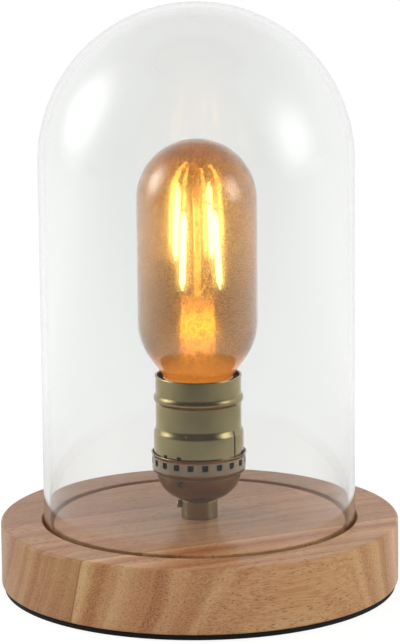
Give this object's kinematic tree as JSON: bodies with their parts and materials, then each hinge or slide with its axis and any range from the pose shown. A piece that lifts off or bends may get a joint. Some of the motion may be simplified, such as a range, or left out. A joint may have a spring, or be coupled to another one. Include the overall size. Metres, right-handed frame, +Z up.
{
  "type": "glass cloche table lamp",
  "caption": "Table lamp: turned wooden base, lift-off glass dome in a ring groove, antique brass lamp holder and a screw-in tubular amber filament lamp.",
  "frame": {"origin": "centre of the underside of the pad that the lamp stands on", "axes": "+Z up along the axis of the base, the holder, the lamp and the dome; the front is -Y and the cord inlet faces +Y"},
  "size_m": [0.15, 0.15, 0.221],
  "materials": {
    "rubberwood": "satin lacquer",
    "black_foam": "matte",
    "black_plastic": "matte",
    "zinc_steel": "zinc plated",
    "antique_brass": "antiqued, satin lacquer",
    "bright_brass": "as rolled",
    "sleeve_board": "matte",
    "brown_phenolic": "moulded",
    "brown_insulation": "extruded",
    "blue_insulation": "extruded",
    "white_plastic": "moulded",
    "clear_glass": "clear",
    "amber_glass": "amber tinted",
    "stem_glass": "clear",
    "lit_filament": "coated",
    "nickel_wire": "drawn",
    "nickel_cap": "nickel plated",
    "black_glass": "glossy",
    "solder": "satin",
    "green_board": "solder mask"
  },
  "bodies": {
    "base": {"wood_base": "rubberwood", "base_pad": "black_foam", "cord_inlet_bush": "black_plastic", "threaded_tube": "zinc_steel", "tube_washer": "zinc_steel", "tube_nut": "zinc_steel", "holder_neck": "antique_brass", "neck_set_screw": "antique_brass", "holder_cap": "antique_brass", "cap_screw": "zinc_steel", "holder_shell": "antique_brass", "insulating_sleeve": "sleeve_board", "screw_shell": "bright_brass", "socket_body": "brown_phenolic", "shell_rivets": "bright_brass", "contact_foot": "bright_brass", "live_terminal": "bright_brass", "neutral_terminal": "bright_brass", "terminal_screws": "zinc_steel", "live_lead": "brown_insulation", "neutral_lead": "blue_insulation", "terminal_block": "white_plastic", "block_inserts": "bright_brass", "block_screws": "zinc_steel", "block_fixing_screw": "zinc_steel"},
    "tongue": {"contact_tongue": "bright_brass"},
    "dome": {"glass_dome": "clear_glass"},
    "lamp_tip": {"cap_contact": "solder"},
    "lamp": {"bulb_glass": "amber_glass", "bulb_stem": "stem_glass", "bulb_rod": "stem_glass", "filament_1": "lit_filament", "filament_2": "lit_filament", "filament_3": "lit_filament", "filament_4": "lit_filament", "filament_feet_wires": "nickel_wire", "filament_top_wires": "nickel_wire", "bulb_cap": "nickel_cap", "cap_insulator": "black_glass", "driver_board": "green_board", "driver_parts": "black_plastic"}
  },
  "joints": [
    {"name": "dome_lift", "type": "slide", "parent": "base", "child": "dome", "axis": [0, 0, 1], "range_m": [0, 0.17]},
    {"name": "lamp_rise", "type": "slide", "parent": "base", "child": "lamp_tip", "axis": [0, 0, 1], "range_m": [0, 0.0164]},
    {"name": "lamp_turn", "type": "hinge", "parent": "lamp_tip", "child": "lamp", "pos_m": [0, 0, 0.056], "axis": [0, 0, 1], "range_deg": [0, 1620]},
    {"name": "tongue_spring", "type": "hinge", "parent": "base", "child": "tongue", "pos_m": [0.0066, 0, 0.0528], "axis": [0, -1, 0], "range_deg": [0, 2.5], "stiffness_Nm_per_rad": 0.01}
  ],
  "couplings": [
    {"joint": "lamp_rise", "follows": "lamp_turn", "m_per_rad": 0.00057757}
  ]
}
